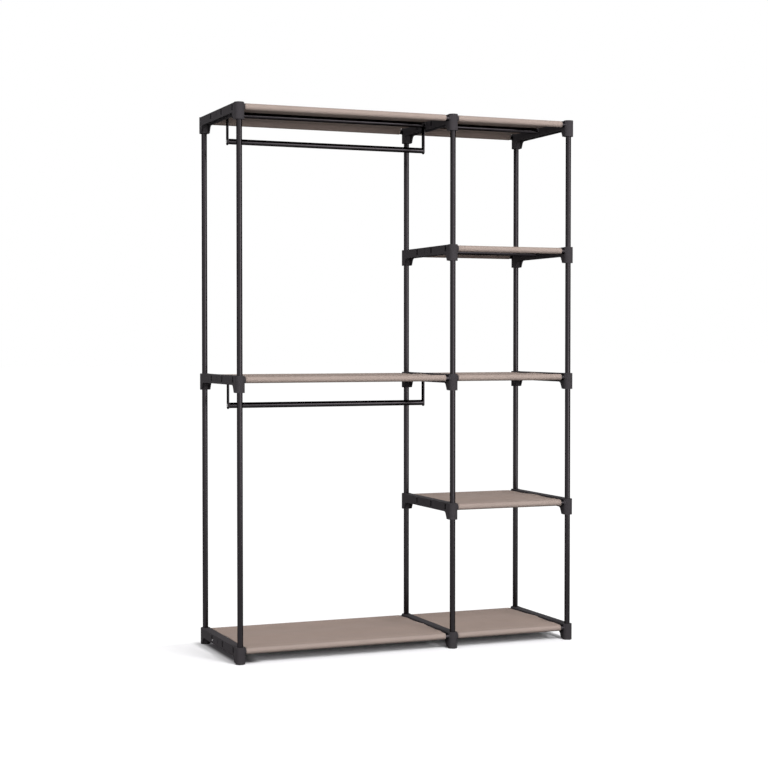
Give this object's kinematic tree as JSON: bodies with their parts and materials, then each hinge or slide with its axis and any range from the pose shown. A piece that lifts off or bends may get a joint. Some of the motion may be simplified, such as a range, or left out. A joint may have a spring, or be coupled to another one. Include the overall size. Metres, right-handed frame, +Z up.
{
  "type": "open frame wardrobe",
  "caption": "Free-standing open wardrobe: steel tubes in moulded side frames carry fabric shelves, with a hanging bay of swinging rails beside a shelf column.",
  "frame": {"origin": "middle of the footprint, on the floor under the feet", "axes": "+X to the right along the wardrobe, from the hanging bay to the shelf column; +Y from front to rear; +Z up"},
  "size_m": [1.238, 0.437, 1.825],
  "materials": {
    "black_tube": "satin black powder coat",
    "frame_plastic": "fine grained black moulding",
    "shelf_fabric": "taupe bonded fabric",
    "foot_rubber": "matt black",
    "screw_zinc": "zinc plated"
  },
  "bodies": {
    "frame": {"divider_frame_bottom": "frame_plastic", "divider_frame_lower": "frame_plastic", "divider_frame_middle": "frame_plastic", "divider_frame_top": "frame_plastic", "divider_frame_upper": "frame_plastic", "fabric_shelf_column_bottom": "shelf_fabric", "fabric_shelf_column_lower": "shelf_fabric", "fabric_shelf_column_middle": "shelf_fabric", "fabric_shelf_column_top": "shelf_fabric", "fabric_shelf_column_upper": "shelf_fabric", "fabric_shelf_hanging_bottom": "shelf_fabric", "fabric_shelf_hanging_middle": "shelf_fabric", "fabric_shelf_hanging_top": "shelf_fabric", "foot_pads": "foot_rubber", "left_end_frame_bottom": "frame_plastic", "left_end_frame_middle": "frame_plastic", "left_end_frame_top": "frame_plastic", "right_end_frame_bottom": "frame_plastic", "right_end_frame_lower": "frame_plastic", "right_end_frame_middle": "frame_plastic", "right_end_frame_top": "frame_plastic", "right_end_frame_upper": "frame_plastic", "shelf_tubes_column_bottom": "black_tube", "shelf_tubes_column_lower": "black_tube", "shelf_tubes_column_middle": "black_tube", "shelf_tubes_column_top": "black_tube", "shelf_tubes_column_upper": "black_tube", "shelf_tubes_hanging_bottom": "black_tube", "shelf_tubes_hanging_middle": "black_tube", "shelf_tubes_hanging_top": "black_tube", "upright_divider_front_bottom": "black_tube", "upright_divider_front_lower": "black_tube", "upright_divider_front_middle": "black_tube", "upright_divider_front_upper": "black_tube", "upright_divider_rear_bottom": "black_tube", "upright_divider_rear_lower": "black_tube", "upright_divider_rear_middle": "black_tube", "upright_divider_rear_upper": "black_tube", "upright_left_front_bottom": "black_tube", "upright_left_front_middle": "black_tube", "upright_left_rear_bottom": "black_tube", "upright_left_rear_middle": "black_tube", "upright_right_front_bottom": "black_tube", "upright_right_front_lower": "black_tube", "upright_right_front_middle": "black_tube", "upright_right_front_upper": "black_tube", "upright_right_rear_bottom": "black_tube", "upright_right_rear_lower": "black_tube", "upright_right_rear_middle": "black_tube", "upright_right_rear_upper": "black_tube"},
    "upper_rail": {"upper_hanging_rail": "black_tube", "upper_rail_bracket_left": "black_tube", "upper_rail_bracket_right": "black_tube", "upper_rail_end_plugs": "frame_plastic", "upper_rail_screws": "screw_zinc"},
    "lower_rail": {"lower_hanging_rail": "black_tube", "lower_rail_bracket_left": "black_tube", "lower_rail_bracket_right": "black_tube", "lower_rail_end_plugs": "frame_plastic", "lower_rail_screws": "screw_zinc"}
  },
  "joints": [
    {"name": "upper_rail_swing", "type": "hinge", "parent": "frame", "child": "upper_rail", "pos_m": [-0.2225, 0, 1.811], "axis": [1, 0, 0], "range_deg": [-80, 80]},
    {"name": "lower_rail_swing", "type": "hinge", "parent": "frame", "child": "lower_rail", "pos_m": [-0.2225, 0, 0.9265], "axis": [1, 0, 0], "range_deg": [-80, 80]}
  ]
}
